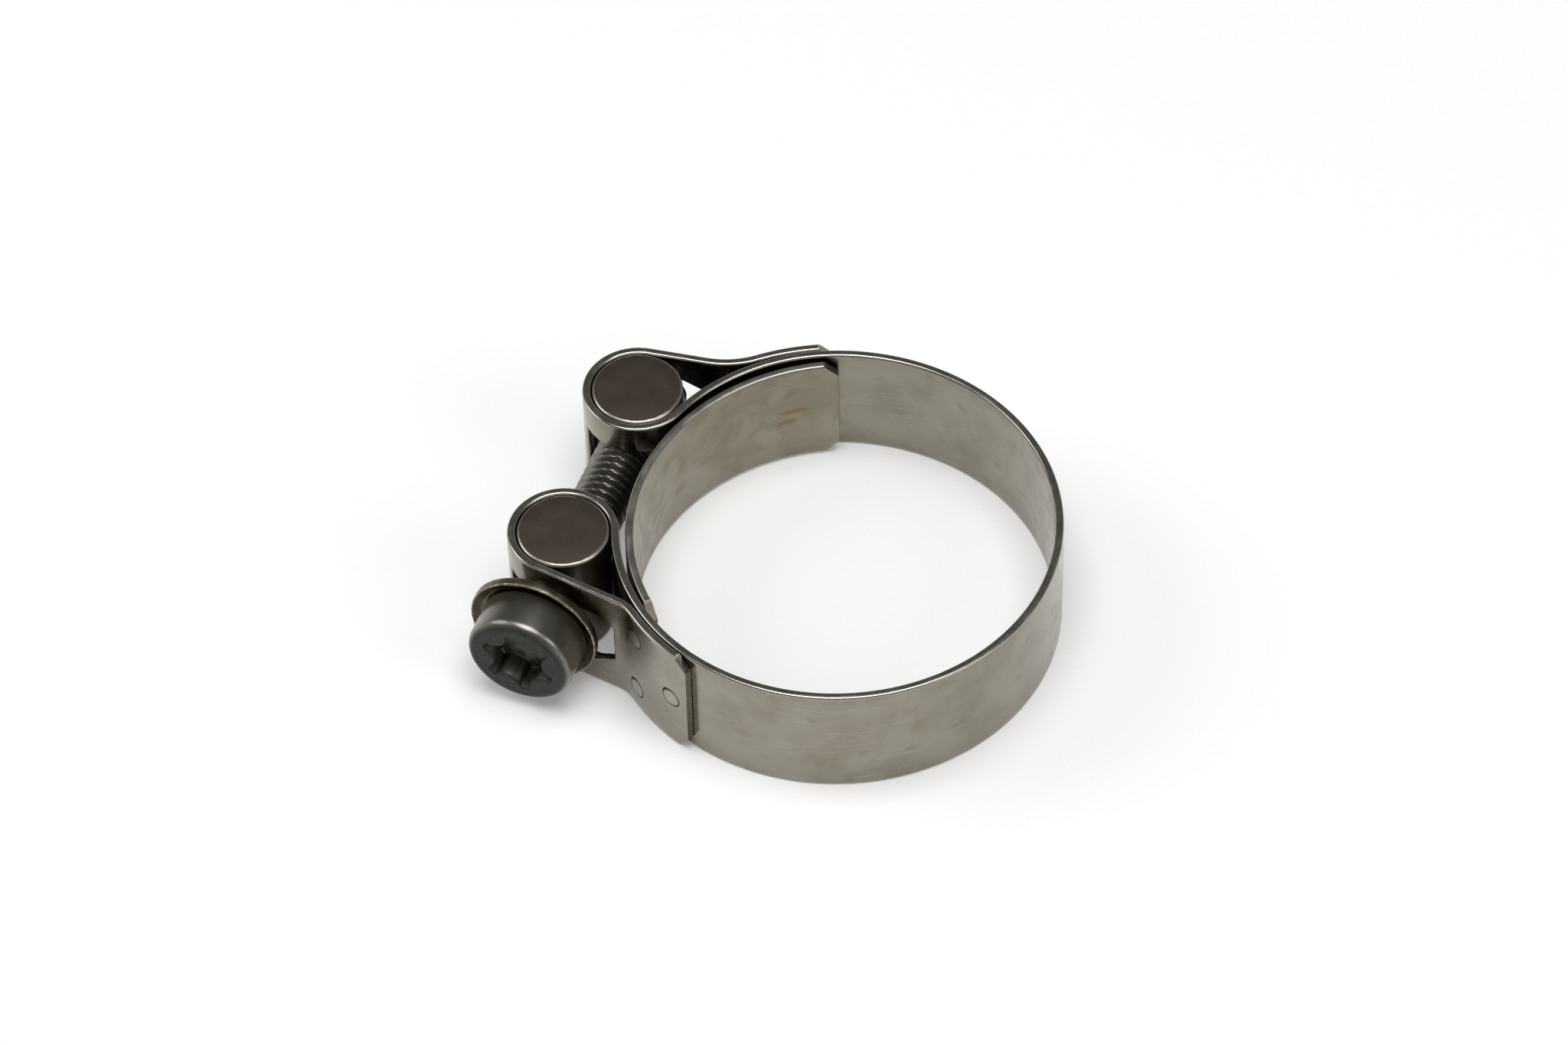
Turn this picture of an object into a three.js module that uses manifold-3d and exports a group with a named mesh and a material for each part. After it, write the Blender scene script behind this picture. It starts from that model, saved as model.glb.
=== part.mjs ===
// Hose clamp with a bolt and two barrels. Millimetres, +Z along the hose, the clamp lies on z = 0.
// The bolt runs along +Y at -X, with its head at -Y.
import * as THREE from 'three';
import { mergeVertices } from 'three/addons/utils/BufferGeometryUtils.js';
import Module from 'manifold-3d';

const wasm = await Module();
wasm.setup();

// Strip
const STRIP_T = 1.1;              // strip thickness
const STRIP_W = 18;               // strip width, along the hose
const STRIP_EDGE_R = 0.3;         // rounding of the strip's long edges
const BAND_R = 30;                // outer radius of the clamp band
const LAYER_GAP = 0.1;            // between the band and the end folded back on it
const FLEX_DEG = 90;              // the band bends at this angle on either side of +X
const CUT_GAP = 0.3;              // between the rigid stretches of the band

// Barrels
const BARREL_X = -33.2;
const FRONT_BARREL_Y = -14.0;
const REAR_BARREL_Y = 12.4;
const BARREL_R = 6.15;
const BARREL_EDGE_R = 0.45;
const LOOP_CLEARANCE = 0.15;      // between a barrel and the loop round it
const FRONT_BORE_R = 4.3;         // plain hole for the bolt
const REAR_BORE_R = 4.1;          // tapped hole, shown as a plain bore just over the thread

// Loops and folded ends
const LEG_TILT_DEG = 8.0;         // the outer leg of a loop against the X axis
const FRONT_KNEE_R = 5;           // bend where the outer leg meets the band
const REAR_KNEE_R = 12;
const LEAVE_DEG = 112;            // the band starts to turn in towards the barrel here
const FRONT_END_DEG = 108.2;      // where the folded ends stop
const REAR_END_DEG = 111.6;
const END_CHAMFER = 2.0;
const WINDOW_H = 8.8;             // window in each loop for the bolt
const WINDOW_X_OUT = 4.8;         // from the bolt's axis, away from the hose
const WINDOW_X_IN = 4.8;          // from the bolt's axis, towards the hose
const LEG_WINDOW_INSET = 0.6;     // from the start of the knee
const LEG_WINDOW_END_H = 6.2;
const LEG_WINDOW_TAPER = 2.6;

// Rivets that hold each folded end
const RIVET_R = 1.5;
const RIVET_HOLE_R = 1.56;
const RIVET_PAIR_DEG = 18.8;      // before the end of the strip
const RIVET_SINGLE_DEG = 5.2;
const RIVET_PAIR_Z = 5.1;         // from the middle of the strip

// Bridge under the gap
const BRIDGE_R = 28.98;           // middle of its thickness
const BRIDGE_CENTRE = [1.96, -0.44];
const BRIDGE_W = 17.4;
const BRIDGE_REAR_DEG = 113.6;    // about the bridge's own centre
const BRIDGE_FRONT_DEG = 229.0;
const BRIDGE_CHAMFER = 2.0;

// Bolt and washer
const BOLT_X = -33.4;             // a little off the middle of the barrels
const BOLT_Z = STRIP_W / 2;
const BOLT_R = 4;
const BOLT_TIP_Y = 21.2;
const TIP_CHAMFER = 0.8;
const HEAD_UNDER_Y = -24.05;
const HEAD_FACE_Y = -30.4;
const HEAD_R = 7.3;
const HEAD_EDGE_R = 1.3;
const SOCKET_R = 4.95;            // to the tips of the lobes
const SOCKET_LOBE_R = 2.2;        // ridge between two lobes
const SOCKET_LOBE_PITCH_R = 5.65;
const SOCKET_DEPTH = 3.8;
const SOCKET_TURN_DEG = 39.8;
const WASHER_R = 8.87;
const WASHER_BORE_R = 4.3;
const WASHER_X = -33.55;          // hangs to one side on the bolt
const WASHER_Z = 9.1;

// The rear arm is drawn on the front side and then mirrored, so its barrel's Y changes sign.
const FRONT_ARM = { barrelY: FRONT_BARREL_Y, kneeR: FRONT_KNEE_R, endDeg: FRONT_END_DEG };
const REAR_ARM = { barrelY: -REAR_BARREL_Y, kneeR: REAR_KNEE_R, endDeg: REAR_END_DEG };

const MID_R = BAND_R - STRIP_T / 2;
const LOOP_R = BARREL_R + LOOP_CLEARANCE + STRIP_T / 2;
const OUTER_LAYER_R = MID_R + STRIP_T + LAYER_GAP;
const rad = THREE.MathUtils.degToRad;
const polar = (r, deg) => new THREE.Vector2(r * Math.cos(rad(deg)), r * Math.sin(rad(deg)));

const steel = (color, roughness, metalness = 1) =>
  new THREE.MeshStandardMaterial({ color, roughness, metalness });
const MATERIALS = {
  strip: steel(0x9c9890, 0.32),
  bridge: steel(0xa39e92, 0.38),
  barrel: steel(0x4a443f, 0.5),
  bolt: steel(0x5c5a57, 0.5),
  washer: steel(0x6e6649, 0.45),
  rivet: steel(0x959187, 0.35),
};

// Solid bodies ---------------------------------------------------------------------------------

function toSolid(geometry) {
  const bare = geometry.clone();
  bare.deleteAttribute('normal');
  bare.deleteAttribute('uv');
  const merged = mergeVertices(bare, 1e-5);
  const index = Uint32Array.from(merged.index.array);
  const build = () => new wasm.Manifold(new wasm.Mesh({
    numProp: 3, vertProperties: Float32Array.from(merged.attributes.position.array), triVerts: index,
  }));
  let body = build();
  if (body.volume() < 0) {
    for (let i = 0; i < index.length; i += 3) [index[i + 1], index[i + 2]] = [index[i + 2], index[i + 1]];
    body = build();
  }
  return body;
}

function toGeometry(body) {
  const mesh = body.getMesh();
  const geometry = new THREE.BufferGeometry();
  geometry.setAttribute('position', new THREE.BufferAttribute(mesh.vertProperties, 3));
  geometry.setIndex(new THREE.BufferAttribute(mesh.triVerts, 1));
  geometry.computeVertexNormals();
  return geometry;
}

const box = (x0, x1, y0, y1, z0, z1) => toSolid(
  new THREE.BoxGeometry(x1 - x0, y1 - y0, z1 - z0)
    .translate((x0 + x1) / 2, (y0 + y1) / 2, (z0 + z1) / 2));

// A solid cylinder centred on `at`, its axis along the unit vector `along`.
function rod(radius, length, at, along, segments = 40) {
  const geometry = new THREE.CylinderGeometry(radius, radius, length, segments);
  const turn = new THREE.Quaternion().setFromUnitVectors(new THREE.Vector3(0, 1, 0), along);
  return toSolid(geometry.applyQuaternion(turn).translate(at.x, at.y, at.z));
}

// A profile of [radius, y] pairs turned about an axis along the bolt.
function turned(profile, x, z, segments = 56) {
  const points = profile.map(([r, y]) => new THREE.Vector2(r, y));
  return toSolid(new THREE.LatheGeometry(points, segments).translate(x, 0, z));
}

// Points on a quarter round from angle `from`, for the corners of turned profiles.
function corner(r, y, radius, from, steps = 4) {
  return Array.from({ length: steps + 1 }, (_, i) => {
    const a = rad(from + 90 * i / steps);
    return [r + radius * Math.cos(a), y + radius * Math.sin(a)];
  });
}

// Strip ----------------------------------------------------------------------------------------

// A path in plan view, lifted to the middle of the strip.
class LevelPath extends THREE.Curve {
  constructor(plan) {
    super();
    this.plan = plan;
    this.arcLengthDivisions = 600;
  }

  getPoint(t, target = new THREE.Vector3()) {
    const p = this.plan.getPoint(t);
    return target.set(p.x, p.y, STRIP_W / 2);
  }
}

function stripSection(width) {
  const [w, t, r] = [width / 2, STRIP_T / 2, STRIP_EDGE_R];
  const section = new THREE.Shape();
  section.absarc(w - r, t - r, r, 0, Math.PI / 2);
  section.absarc(r - w, t - r, r, Math.PI / 2, Math.PI);
  section.absarc(r - w, r - t, r, Math.PI, 1.5 * Math.PI);
  section.absarc(w - r, r - t, r, 1.5 * Math.PI, 2 * Math.PI);
  return section;
}

function sweepStrip(plan, width, stepLength) {
  const steps = Math.ceil(plan.getLength() / stepLength);
  const options = { steps, curveSegments: 1, extrudePath: new LevelPath(plan) };
  return toSolid(new THREE.ExtrudeGeometry(stripSection(width), options));
}

// Centreline of the front arm: band, turn round the barrel, outer leg and the end folded back.
// Also gives the X at which the outer leg starts to bend.
function armPlan({ barrelY, kneeR, endDeg }) {
  const barrel = new THREE.Vector2(BARREL_X, barrelY);
  const normal = polar(1, -90 - LEG_TILT_DEG);
  const along = polar(1, -LEG_TILT_DEG);

  const leave = polar(1, -LEAVE_DEG);
  const reach = barrel.lengthSq() - (MID_R + LOOP_R) ** 2;
  const shift = reach / (2 * (barrel.dot(leave) - (MID_R + LOOP_R)));
  const turnIn = leave.clone().multiplyScalar(shift);
  const touch = barrel.clone().sub(turnIn).angle();

  const legAt = barrel.dot(normal) + LOOP_R;
  const kneeBack = Math.sqrt((OUTER_LAYER_R + kneeR) ** 2 - (legAt + kneeR) ** 2);
  const knee = normal.clone().multiplyScalar(legAt + kneeR).addScaledVector(along, -kneeBack);

  const start = rad(-FLEX_DEG) - CUT_GAP / 2 / MID_R;
  const plan = new THREE.Path();
  plan.absarc(0, 0, MID_R, start, rad(-LEAVE_DEG), true);
  plan.absarc(turnIn.x, turnIn.y, MID_R - shift, rad(-LEAVE_DEG), touch, true);
  plan.absarc(barrel.x, barrel.y, LOOP_R, touch - Math.PI, normal.angle(), false);
  plan.absarc(knee.x, knee.y, kneeR, normal.angle() - Math.PI, knee.angle() - Math.PI, true);
  plan.absarc(0, 0, OUTER_LAYER_R, knee.angle(), rad(-endDeg), false);
  return { plan, kneeX: knee.x - kneeR * normal.x };
}

// Wedges that take the corners off the end of a strip, about the circle it follows.
function endChamfers(centre, radius, endDeg, towards, width, size) {
  const out = new THREE.Vector3(Math.cos(rad(endDeg)), Math.sin(rad(endDeg)), 0);
  return [-1, 1].map((side) => {
    const wedge = new THREE.Shape([[-size, 0], [2, 0], [2, -2 * size], [0, -size]]
      .map(([x, y]) => new THREE.Vector2(x * towards, side * y)));
    const geometry = new THREE.ExtrudeGeometry(wedge, { depth: 2 * STRIP_T, bevelEnabled: false })
      .translate(0, 0, -STRIP_T / 2 - 0.85 * LAYER_GAP);
    const tangent = new THREE.Vector3(-out.y, out.x, 0);
    const frame = new THREE.Matrix4().makeBasis(tangent, new THREE.Vector3(0, 0, 1), out)
      .setPosition(centre[0] + radius * out.x, centre[1] + radius * out.y,
        STRIP_W / 2 + side * (width / 2 + 0.001));
    return toSolid(geometry.applyMatrix4(frame));
  });
}

function rivetAxes(endDeg) {
  return [
    ['upper', -endDeg - RIVET_PAIR_DEG, RIVET_PAIR_Z],
    ['lower', -endDeg - RIVET_PAIR_DEG, -RIVET_PAIR_Z],
    ['end', -endDeg - RIVET_SINGLE_DEG, 0],
  ].map(([name, deg, z]) => ({ name, deg, z: STRIP_W / 2 + z }));
}

function rivet({ deg, z }, radius, extra = 0) {
  const inner = MID_R - STRIP_T / 2 + 0.05 - extra;
  const outer = OUTER_LAYER_R + STRIP_T / 2 + 0.05 + extra;
  const out = polar(1, deg);
  const at = out.clone().multiplyScalar((inner + outer) / 2);
  return rod(radius, outer - inner, { x: at.x, y: at.y, z }, new THREE.Vector3(out.x, out.y, 0), 24);
}

function windowCutters(barrelY, kneeX) {
  const [z0, z1] = [BOLT_Z - WINDOW_H / 2, BOLT_Z + WINDOW_H / 2];
  const through = box(BOLT_X - WINDOW_X_OUT, BOLT_X + WINDOW_X_IN,
    barrelY - LOOP_R - 3, barrelY + LOOP_R + 3, z0, z1);
  const endX = kneeX - LEG_WINDOW_INSET;
  const slot = new THREE.Shape([
    [BOLT_X, -WINDOW_H / 2], [endX - LEG_WINDOW_TAPER, -WINDOW_H / 2],
    [endX, -LEG_WINDOW_END_H / 2], [endX, LEG_WINDOW_END_H / 2],
    [endX - LEG_WINDOW_TAPER, WINDOW_H / 2], [BOLT_X, WINDOW_H / 2],
  ].map(([x, y]) => new THREE.Vector2(x, y)));
  const depth = 6;
  const legSlot = new THREE.ExtrudeGeometry(slot, { depth, bevelEnabled: false })
    .rotateX(Math.PI / 2).translate(0, barrelY - BARREL_R, BOLT_Z);
  return [through, toSolid(legSlot)];
}

// The arm on the head's side. The other arm is the same with its own sizes, mirrored in Y.
function makeArm(sizes) {
  const { plan, kneeX } = armPlan(sizes);
  let arm = sweepStrip(plan, STRIP_W, 0.9);
  const cutters = [
    ...windowCutters(sizes.barrelY, kneeX),
    ...endChamfers([0, 0], OUTER_LAYER_R, -sizes.endDeg, 1, STRIP_W, END_CHAMFER),
    ...rivetAxes(sizes.endDeg).map((axis) => rivet(axis, RIVET_HOLE_R, 0.6)),
  ];
  for (const cutter of cutters) arm = arm.subtract(cutter);
  return arm;
}

function makeBandBack() {
  const end = rad(FLEX_DEG) - CUT_GAP / 2 / MID_R;
  const plan = new THREE.Path();
  plan.absarc(0, 0, MID_R, -end, end, false);
  return sweepStrip(plan, STRIP_W, 1.6);
}

function makeBridge() {
  const [x, y] = BRIDGE_CENTRE;
  const plan = new THREE.Path();
  plan.absarc(x, y, BRIDGE_R, rad(BRIDGE_REAR_DEG), rad(BRIDGE_FRONT_DEG), false);
  let bridge = sweepStrip(plan, BRIDGE_W, 1.6);
  for (const [deg, towards] of [[BRIDGE_REAR_DEG, -1], [BRIDGE_FRONT_DEG, 1]]) {
    for (const cutter of endChamfers(BRIDGE_CENTRE, BRIDGE_R, deg, towards, BRIDGE_W, BRIDGE_CHAMFER)) {
      bridge = bridge.subtract(cutter);
    }
  }
  return bridge;
}

// Barrels, bolt and washer ---------------------------------------------------------------------

function makeBarrel(y, boreR) {
  const [r, e, h] = [BARREL_R, BARREL_EDGE_R, STRIP_W];
  const profile = [[0, 0], ...corner(r - e, e, e, -90), ...corner(r - e, h - e, e, 0), [0, h]];
  const points = profile.map(([px, py]) => new THREE.Vector2(px, py));
  const body = toSolid(new THREE.LatheGeometry(points, 56).rotateX(Math.PI / 2).translate(BARREL_X, y, 0));
  const bore = rod(boreR, 4 * r, { x: BOLT_X, y, z: BOLT_Z }, new THREE.Vector3(0, 1, 0), 48);
  return body.subtract(bore);
}

function makeSocket() {
  const at = { x: BOLT_X, y: HEAD_FACE_Y + SOCKET_DEPTH / 2 - 0.5, z: BOLT_Z };
  const along = new THREE.Vector3(0, 1, 0);
  let socket = rod(SOCKET_R, SOCKET_DEPTH + 1, at, along, 60);
  for (let i = 0; i < 6; i += 1) {
    const lobe = polar(SOCKET_LOBE_PITCH_R, SOCKET_TURN_DEG + 30 + 60 * i);
    const ridgeAt = { x: at.x + lobe.x, y: at.y, z: at.z + lobe.y };
    socket = socket.subtract(rod(SOCKET_LOBE_R, 2 * SOCKET_DEPTH, ridgeAt, along, 24));
  }
  return socket;
}

function makeBolt() {
  const profile = [
    [0, HEAD_FACE_Y],
    ...corner(HEAD_R - HEAD_EDGE_R, HEAD_FACE_Y + HEAD_EDGE_R, HEAD_EDGE_R, -90),
    ...corner(HEAD_R - 0.3, HEAD_UNDER_Y - 0.3, 0.3, 0, 2),
    [BOLT_R, HEAD_UNDER_Y], [BOLT_R, BOLT_TIP_Y - TIP_CHAMFER],
    [BOLT_R - TIP_CHAMFER, BOLT_TIP_Y], [0, BOLT_TIP_Y],
  ];
  return turned(profile, BOLT_X, BOLT_Z).subtract(makeSocket());
}

// A dished washer: flat under the head, its rim raised towards the head.
function makeWasher() {
  const [backY, frontY, rimY, dishR] = [-22.95, -23.75, -24.6, HEAD_R + 0.35];
  return turned([
    [WASHER_BORE_R, backY], [WASHER_BORE_R, frontY], [dishR, frontY],
    [WASHER_R - 0.15, rimY], [WASHER_R, rimY + 0.15], [WASHER_R, backY - 0.5],
    [WASHER_R - 0.5, backY], [WASHER_BORE_R, backY],
  ], WASHER_X, WASHER_Z);
}

// Assembly -------------------------------------------------------------------------------------

const clamp = new THREE.Group();
clamp.name = 'hose_clamp';

function add(name, body, material) {
  const mesh = new THREE.Mesh(toGeometry(body), material);
  mesh.name = name;
  clamp.add(mesh);
}

const mirrorY = (body) => body.mirror([0, 1, 0]);
add('band_back', makeBandBack(), MATERIALS.strip);
add('front_arm', makeArm(FRONT_ARM), MATERIALS.strip);
add('rear_arm', mirrorY(makeArm(REAR_ARM)), MATERIALS.strip);
add('bridge', makeBridge(), MATERIALS.bridge);
add('front_barrel', makeBarrel(FRONT_BARREL_Y, FRONT_BORE_R), MATERIALS.barrel);
add('rear_barrel', makeBarrel(REAR_BARREL_Y, REAR_BORE_R), MATERIALS.barrel);
add('bolt', makeBolt(), MATERIALS.bolt);
add('washer', makeWasher(), MATERIALS.washer);
for (const axis of rivetAxes(FRONT_END_DEG)) {
  add(`front_rivet_${axis.name}`, rivet(axis, RIVET_R), MATERIALS.rivet);
}
for (const axis of rivetAxes(REAR_END_DEG)) {
  add(`rear_rivet_${axis.name}`, mirrorY(rivet(axis, RIVET_R)), MATERIALS.rivet);
}

export default clamp;
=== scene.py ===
"""Looks for a hose clamp drawn shut by a bolt through two barrels.

Sizes are in millimetres until a piece is finished, and every finished mesh is in metres.
"""

import logging
import math
from contextlib import contextmanager
from dataclasses import dataclass, field
from enum import Enum
from typing import Any, ClassVar, Iterator, Sequence

import bmesh
import bpy
import numpy as np
from mathutils import Euler, Matrix, Vector


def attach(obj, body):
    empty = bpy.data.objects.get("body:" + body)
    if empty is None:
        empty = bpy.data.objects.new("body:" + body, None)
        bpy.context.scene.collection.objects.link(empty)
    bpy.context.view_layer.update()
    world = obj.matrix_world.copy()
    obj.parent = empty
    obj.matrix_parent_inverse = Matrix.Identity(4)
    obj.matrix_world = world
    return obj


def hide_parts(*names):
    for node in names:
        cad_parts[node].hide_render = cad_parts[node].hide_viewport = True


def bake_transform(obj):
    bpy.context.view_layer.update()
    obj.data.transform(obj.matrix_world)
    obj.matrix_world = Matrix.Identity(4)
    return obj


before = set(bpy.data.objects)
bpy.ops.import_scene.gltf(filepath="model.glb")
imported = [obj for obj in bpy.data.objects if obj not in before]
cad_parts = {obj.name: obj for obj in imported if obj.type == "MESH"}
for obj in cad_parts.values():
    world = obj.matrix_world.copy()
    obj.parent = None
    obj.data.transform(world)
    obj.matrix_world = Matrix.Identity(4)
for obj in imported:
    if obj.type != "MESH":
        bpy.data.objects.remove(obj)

MM = 0.001
STRIP_MIDDLE = 9.0
Colour = tuple[float, float, float, float]
Flat = tuple[float, float]
Point = tuple[float, float, float]
Metal = bpy.types.Material
NodeTree = bpy.types.NodeTree
Piece = bpy.types.Object
Socket = bpy.types.NodeSocket
log = logging.getLogger("hose_clamp")


class Body(Enum):
    """The rigid bodies of the clamp."""

    BACK = "band_back"
    FRONT_ARM = "front_arm"
    REAR_ARM = "rear_arm"
    FRONT_BARREL = "front_barrel"
    REAR_BARREL = "rear_barrel"
    BOLT = "bolt"
    WASHER = "washer"


class Side(Enum):
    """The two ends of the band. The value is the sign of Y on that side."""

    FRONT = -1.0
    REAR = 1.0


class Axis(Enum):
    """Which way a turned piece's axis runs. The value turns the local Z axis onto it."""

    HOSE = (0.0, 0.0, 0.0)
    BOLT = (-math.pi / 2, 0.0, 0.0)


# Node trees ---


class Tree:
    """Short calls for laying out the nodes of a geometry or shader tree."""

    def __init__(self, tree: NodeTree) -> None:
        """Starts on a tree.

        Args:
            tree: The node tree to add to.
        """
        self.tree = tree

    def add(self, kind: str, **settings: Any) -> bpy.types.Node:
        """Adds a node.

        Args:
            kind: The node's type name.
            **settings: Properties to set on it.

        Returns:
            The new node.
        """
        node = self.tree.nodes.new(kind)
        node.location = (180 * (len(self.tree.nodes) % 8), -160 * (len(self.tree.nodes) // 8))
        for name, value in settings.items():
            setattr(node, name, value)
        return node

    def put(self, socket: Socket, value: Any) -> None:
        """Links a socket to an output, or sets its value."""
        if isinstance(value, Socket):
            self.tree.links.new(value, socket)
        else:
            socket.default_value = value

    def fill(self, node: bpy.types.Node, values: dict[str, Any]) -> bpy.types.Node:
        """Sets or links a node's inputs by name, and gives the node back."""
        for name, value in values.items():
            self.put(node.inputs[name], value)
        return node

    def math(self, operation: str, *values: Any, clamp: bool = False) -> Socket:
        """Adds a Math node and gives its result."""
        node = self.add("ShaderNodeMath", operation=operation, use_clamp=clamp)
        for socket, value in zip(node.inputs, values):
            self.put(socket, value)
        return node.outputs[0]

    def plus(self, first: Any, second: Any) -> Socket:
        """Adds two numbers."""
        return self.math("ADD", first, second)

    def minus(self, first: Any, second: Any) -> Socket:
        """Takes the second number from the first."""
        return self.math("SUBTRACT", first, second)

    def times(self, first: Any, second: Any) -> Socket:
        """Multiplies two numbers."""
        return self.math("MULTIPLY", first, second)

    def vector(self, operation: str, *values: Any) -> Socket:
        """Adds a Vector Math node and gives its result."""
        node = self.add("ShaderNodeVectorMath", operation=operation)
        for socket, value in zip(node.inputs, values):
            self.put(socket, value)
        return node.outputs[0]

    def split(self, vector: Any) -> Sequence[Socket]:
        """Gives the X, Y and Z of a vector."""
        node = self.add("ShaderNodeSeparateXYZ")
        self.put(node.inputs[0], vector)
        return node.outputs

    def ramp(self, value: Any, low: float, high: float) -> Socket:
        """Gives 0 below low and 1 above high, with a soft step between."""
        node = self.add("ShaderNodeMapRange", interpolation_type="SMOOTHSTEP")
        self.fill(node, {"Value": value, "From Min": low, "From Max": high})
        return node.outputs["Result"]

    def span(self, value: Any, low: float, high: float) -> Socket:
        """Spreads a 0 to 1 value over a range."""
        node = self.add("ShaderNodeMapRange")
        self.fill(node, {"Value": value, "To Min": low, "To Max": high})
        return node.outputs["Result"]

    def noise(self, vector: Any, scale: Any, detail: float = 2.0) -> Socket:
        """Adds a noise texture and gives its value."""
        node = self.add("ShaderNodeTexNoise")
        self.fill(node, {"Vector": vector, "Scale": scale, "Detail": detail})
        return node.outputs[0]

    def blend(self, mask: Any, first: Any, second: Any) -> Socket:
        """Mixes two colours, the second where the mask is 1."""
        node = self.add("ShaderNodeMix", data_type="RGBA")
        for index, value in ((0, mask), (6, first), (7, second)):
            self.put(node.inputs[index], value)
        return node.outputs[2]


def new_group(name: str, kind: str, inputs: dict[str, str],
              output: tuple[str, str]) -> tuple[Tree, Any, Socket]:
    """Makes a node group with its sockets.

    Args:
        name: The group's name.
        kind: "Shader" or "Geometry".
        inputs: Each input's name and kind of socket.
        output: The output's name and kind of socket.

    Returns:
        The tree, its input node's outputs and its output socket.
    """
    group = bpy.data.node_groups.new(name, f"{kind}NodeTree")
    sockets = [(*item, "INPUT") for item in inputs.items()] + [(*output, "OUTPUT")]
    for socket, sort, way in sockets:
        group.interface.new_socket(name=socket, in_out=way, socket_type=f"NodeSocket{sort}")
    tree = Tree(group)
    return tree, tree.add("NodeGroupInput").outputs, tree.add("NodeGroupOutput").inputs[0]


class Effects:
    """The shared shading effects. Each group puts out one mask or height, from 0 to 1."""

    def __init__(self) -> None:
        """Builds every group once."""
        self.clouds = self._clouds()
        self.scuffs = self._scuffs()
        self.grain = self._grain()
        self.spot = self._spot()

    @staticmethod
    def _start(name: str, numbers: Sequence[str], vectors: Sequence[str] = (),
               output: str = "Mask") -> tuple[Tree, Any, Socket]:
        """Makes a group that takes a place and some other values, and puts out one number."""
        sockets = dict.fromkeys(("Vector", *vectors), "Vector") | dict.fromkeys(numbers, "Float")
        return new_group(name, "Shader", sockets, (output, "Float"))

    def _clouds(self) -> NodeTree:
        """Soft uneven patches, such as stains."""
        tree, given, out = self._start("soft patches", ("Scale", "Low", "High"))
        node = tree.add("ShaderNodeMapRange", interpolation_type="SMOOTHSTEP")
        value = tree.noise(given["Vector"], given["Scale"], 4.0)
        tree.fill(node, {"Value": value, "From Min": given["Low"], "From Max": given["High"]})
        tree.put(out, node.outputs["Result"])
        return tree.tree

    def _scuffs(self) -> NodeTree:
        """Thin straight scratches that run a few ways, mostly along X."""
        tree, given, out = self._start("scuffs", ("Scale",))
        found = None
        for turn, stretch, edge in ((0.03, 26.0, 0.62), (0.42, 20.0, 0.67), (-0.95, 17.0, 0.69)):
            turned = tree.fill(tree.add("ShaderNodeVectorRotate", rotation_type="Z_AXIS"),
                               {"Vector": given["Vector"], "Angle": turn})
            drawn = tree.vector("MULTIPLY", turned.outputs[0], (1 / stretch, 1.0, 1.0))
            streak = tree.ramp(tree.noise(drawn, given["Scale"], 1.0), edge, edge + 0.07)
            found = streak if found is None else tree.math("MAXIMUM", found, streak)
        tree.put(out, found)
        return tree.tree

    def _grain(self) -> NodeTree:
        """Fine grain, drawn out along X by Stretch."""
        tree, given, out = self._start("grain", ("Scale", "Stretch"), output="Height")
        squeeze = tree.add("ShaderNodeCombineXYZ")
        tree.put(squeeze.inputs[0], tree.math("DIVIDE", 1.0, given["Stretch"]))
        squeeze.inputs[1].default_value = squeeze.inputs[2].default_value = 1.0
        drawn = tree.vector("MULTIPLY", given["Vector"], squeeze.outputs[0])
        tree.put(out, tree.noise(drawn, given["Scale"], 3.0))
        return tree.tree

    def _spot(self) -> NodeTree:
        """A ragged round spot, such as the heat tint of a weld."""
        tree, given, out = self._start("ragged spot", (), ("Centre", "Shape"))
        away = tree.vector("DIVIDE", tree.vector("SUBTRACT", given["Vector"], given["Centre"]),
                           given["Shape"])
        length = tree.add("ShaderNodeVectorMath", operation="LENGTH")
        tree.put(length.inputs[0], away)
        ragged = tree.plus(length.outputs["Value"], tree.noise(given["Vector"], 0.9, 4.0))
        tree.put(out, tree.minus(1.0, tree.ramp(ragged, 0.75, 1.6)))
        return tree.tree


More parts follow.
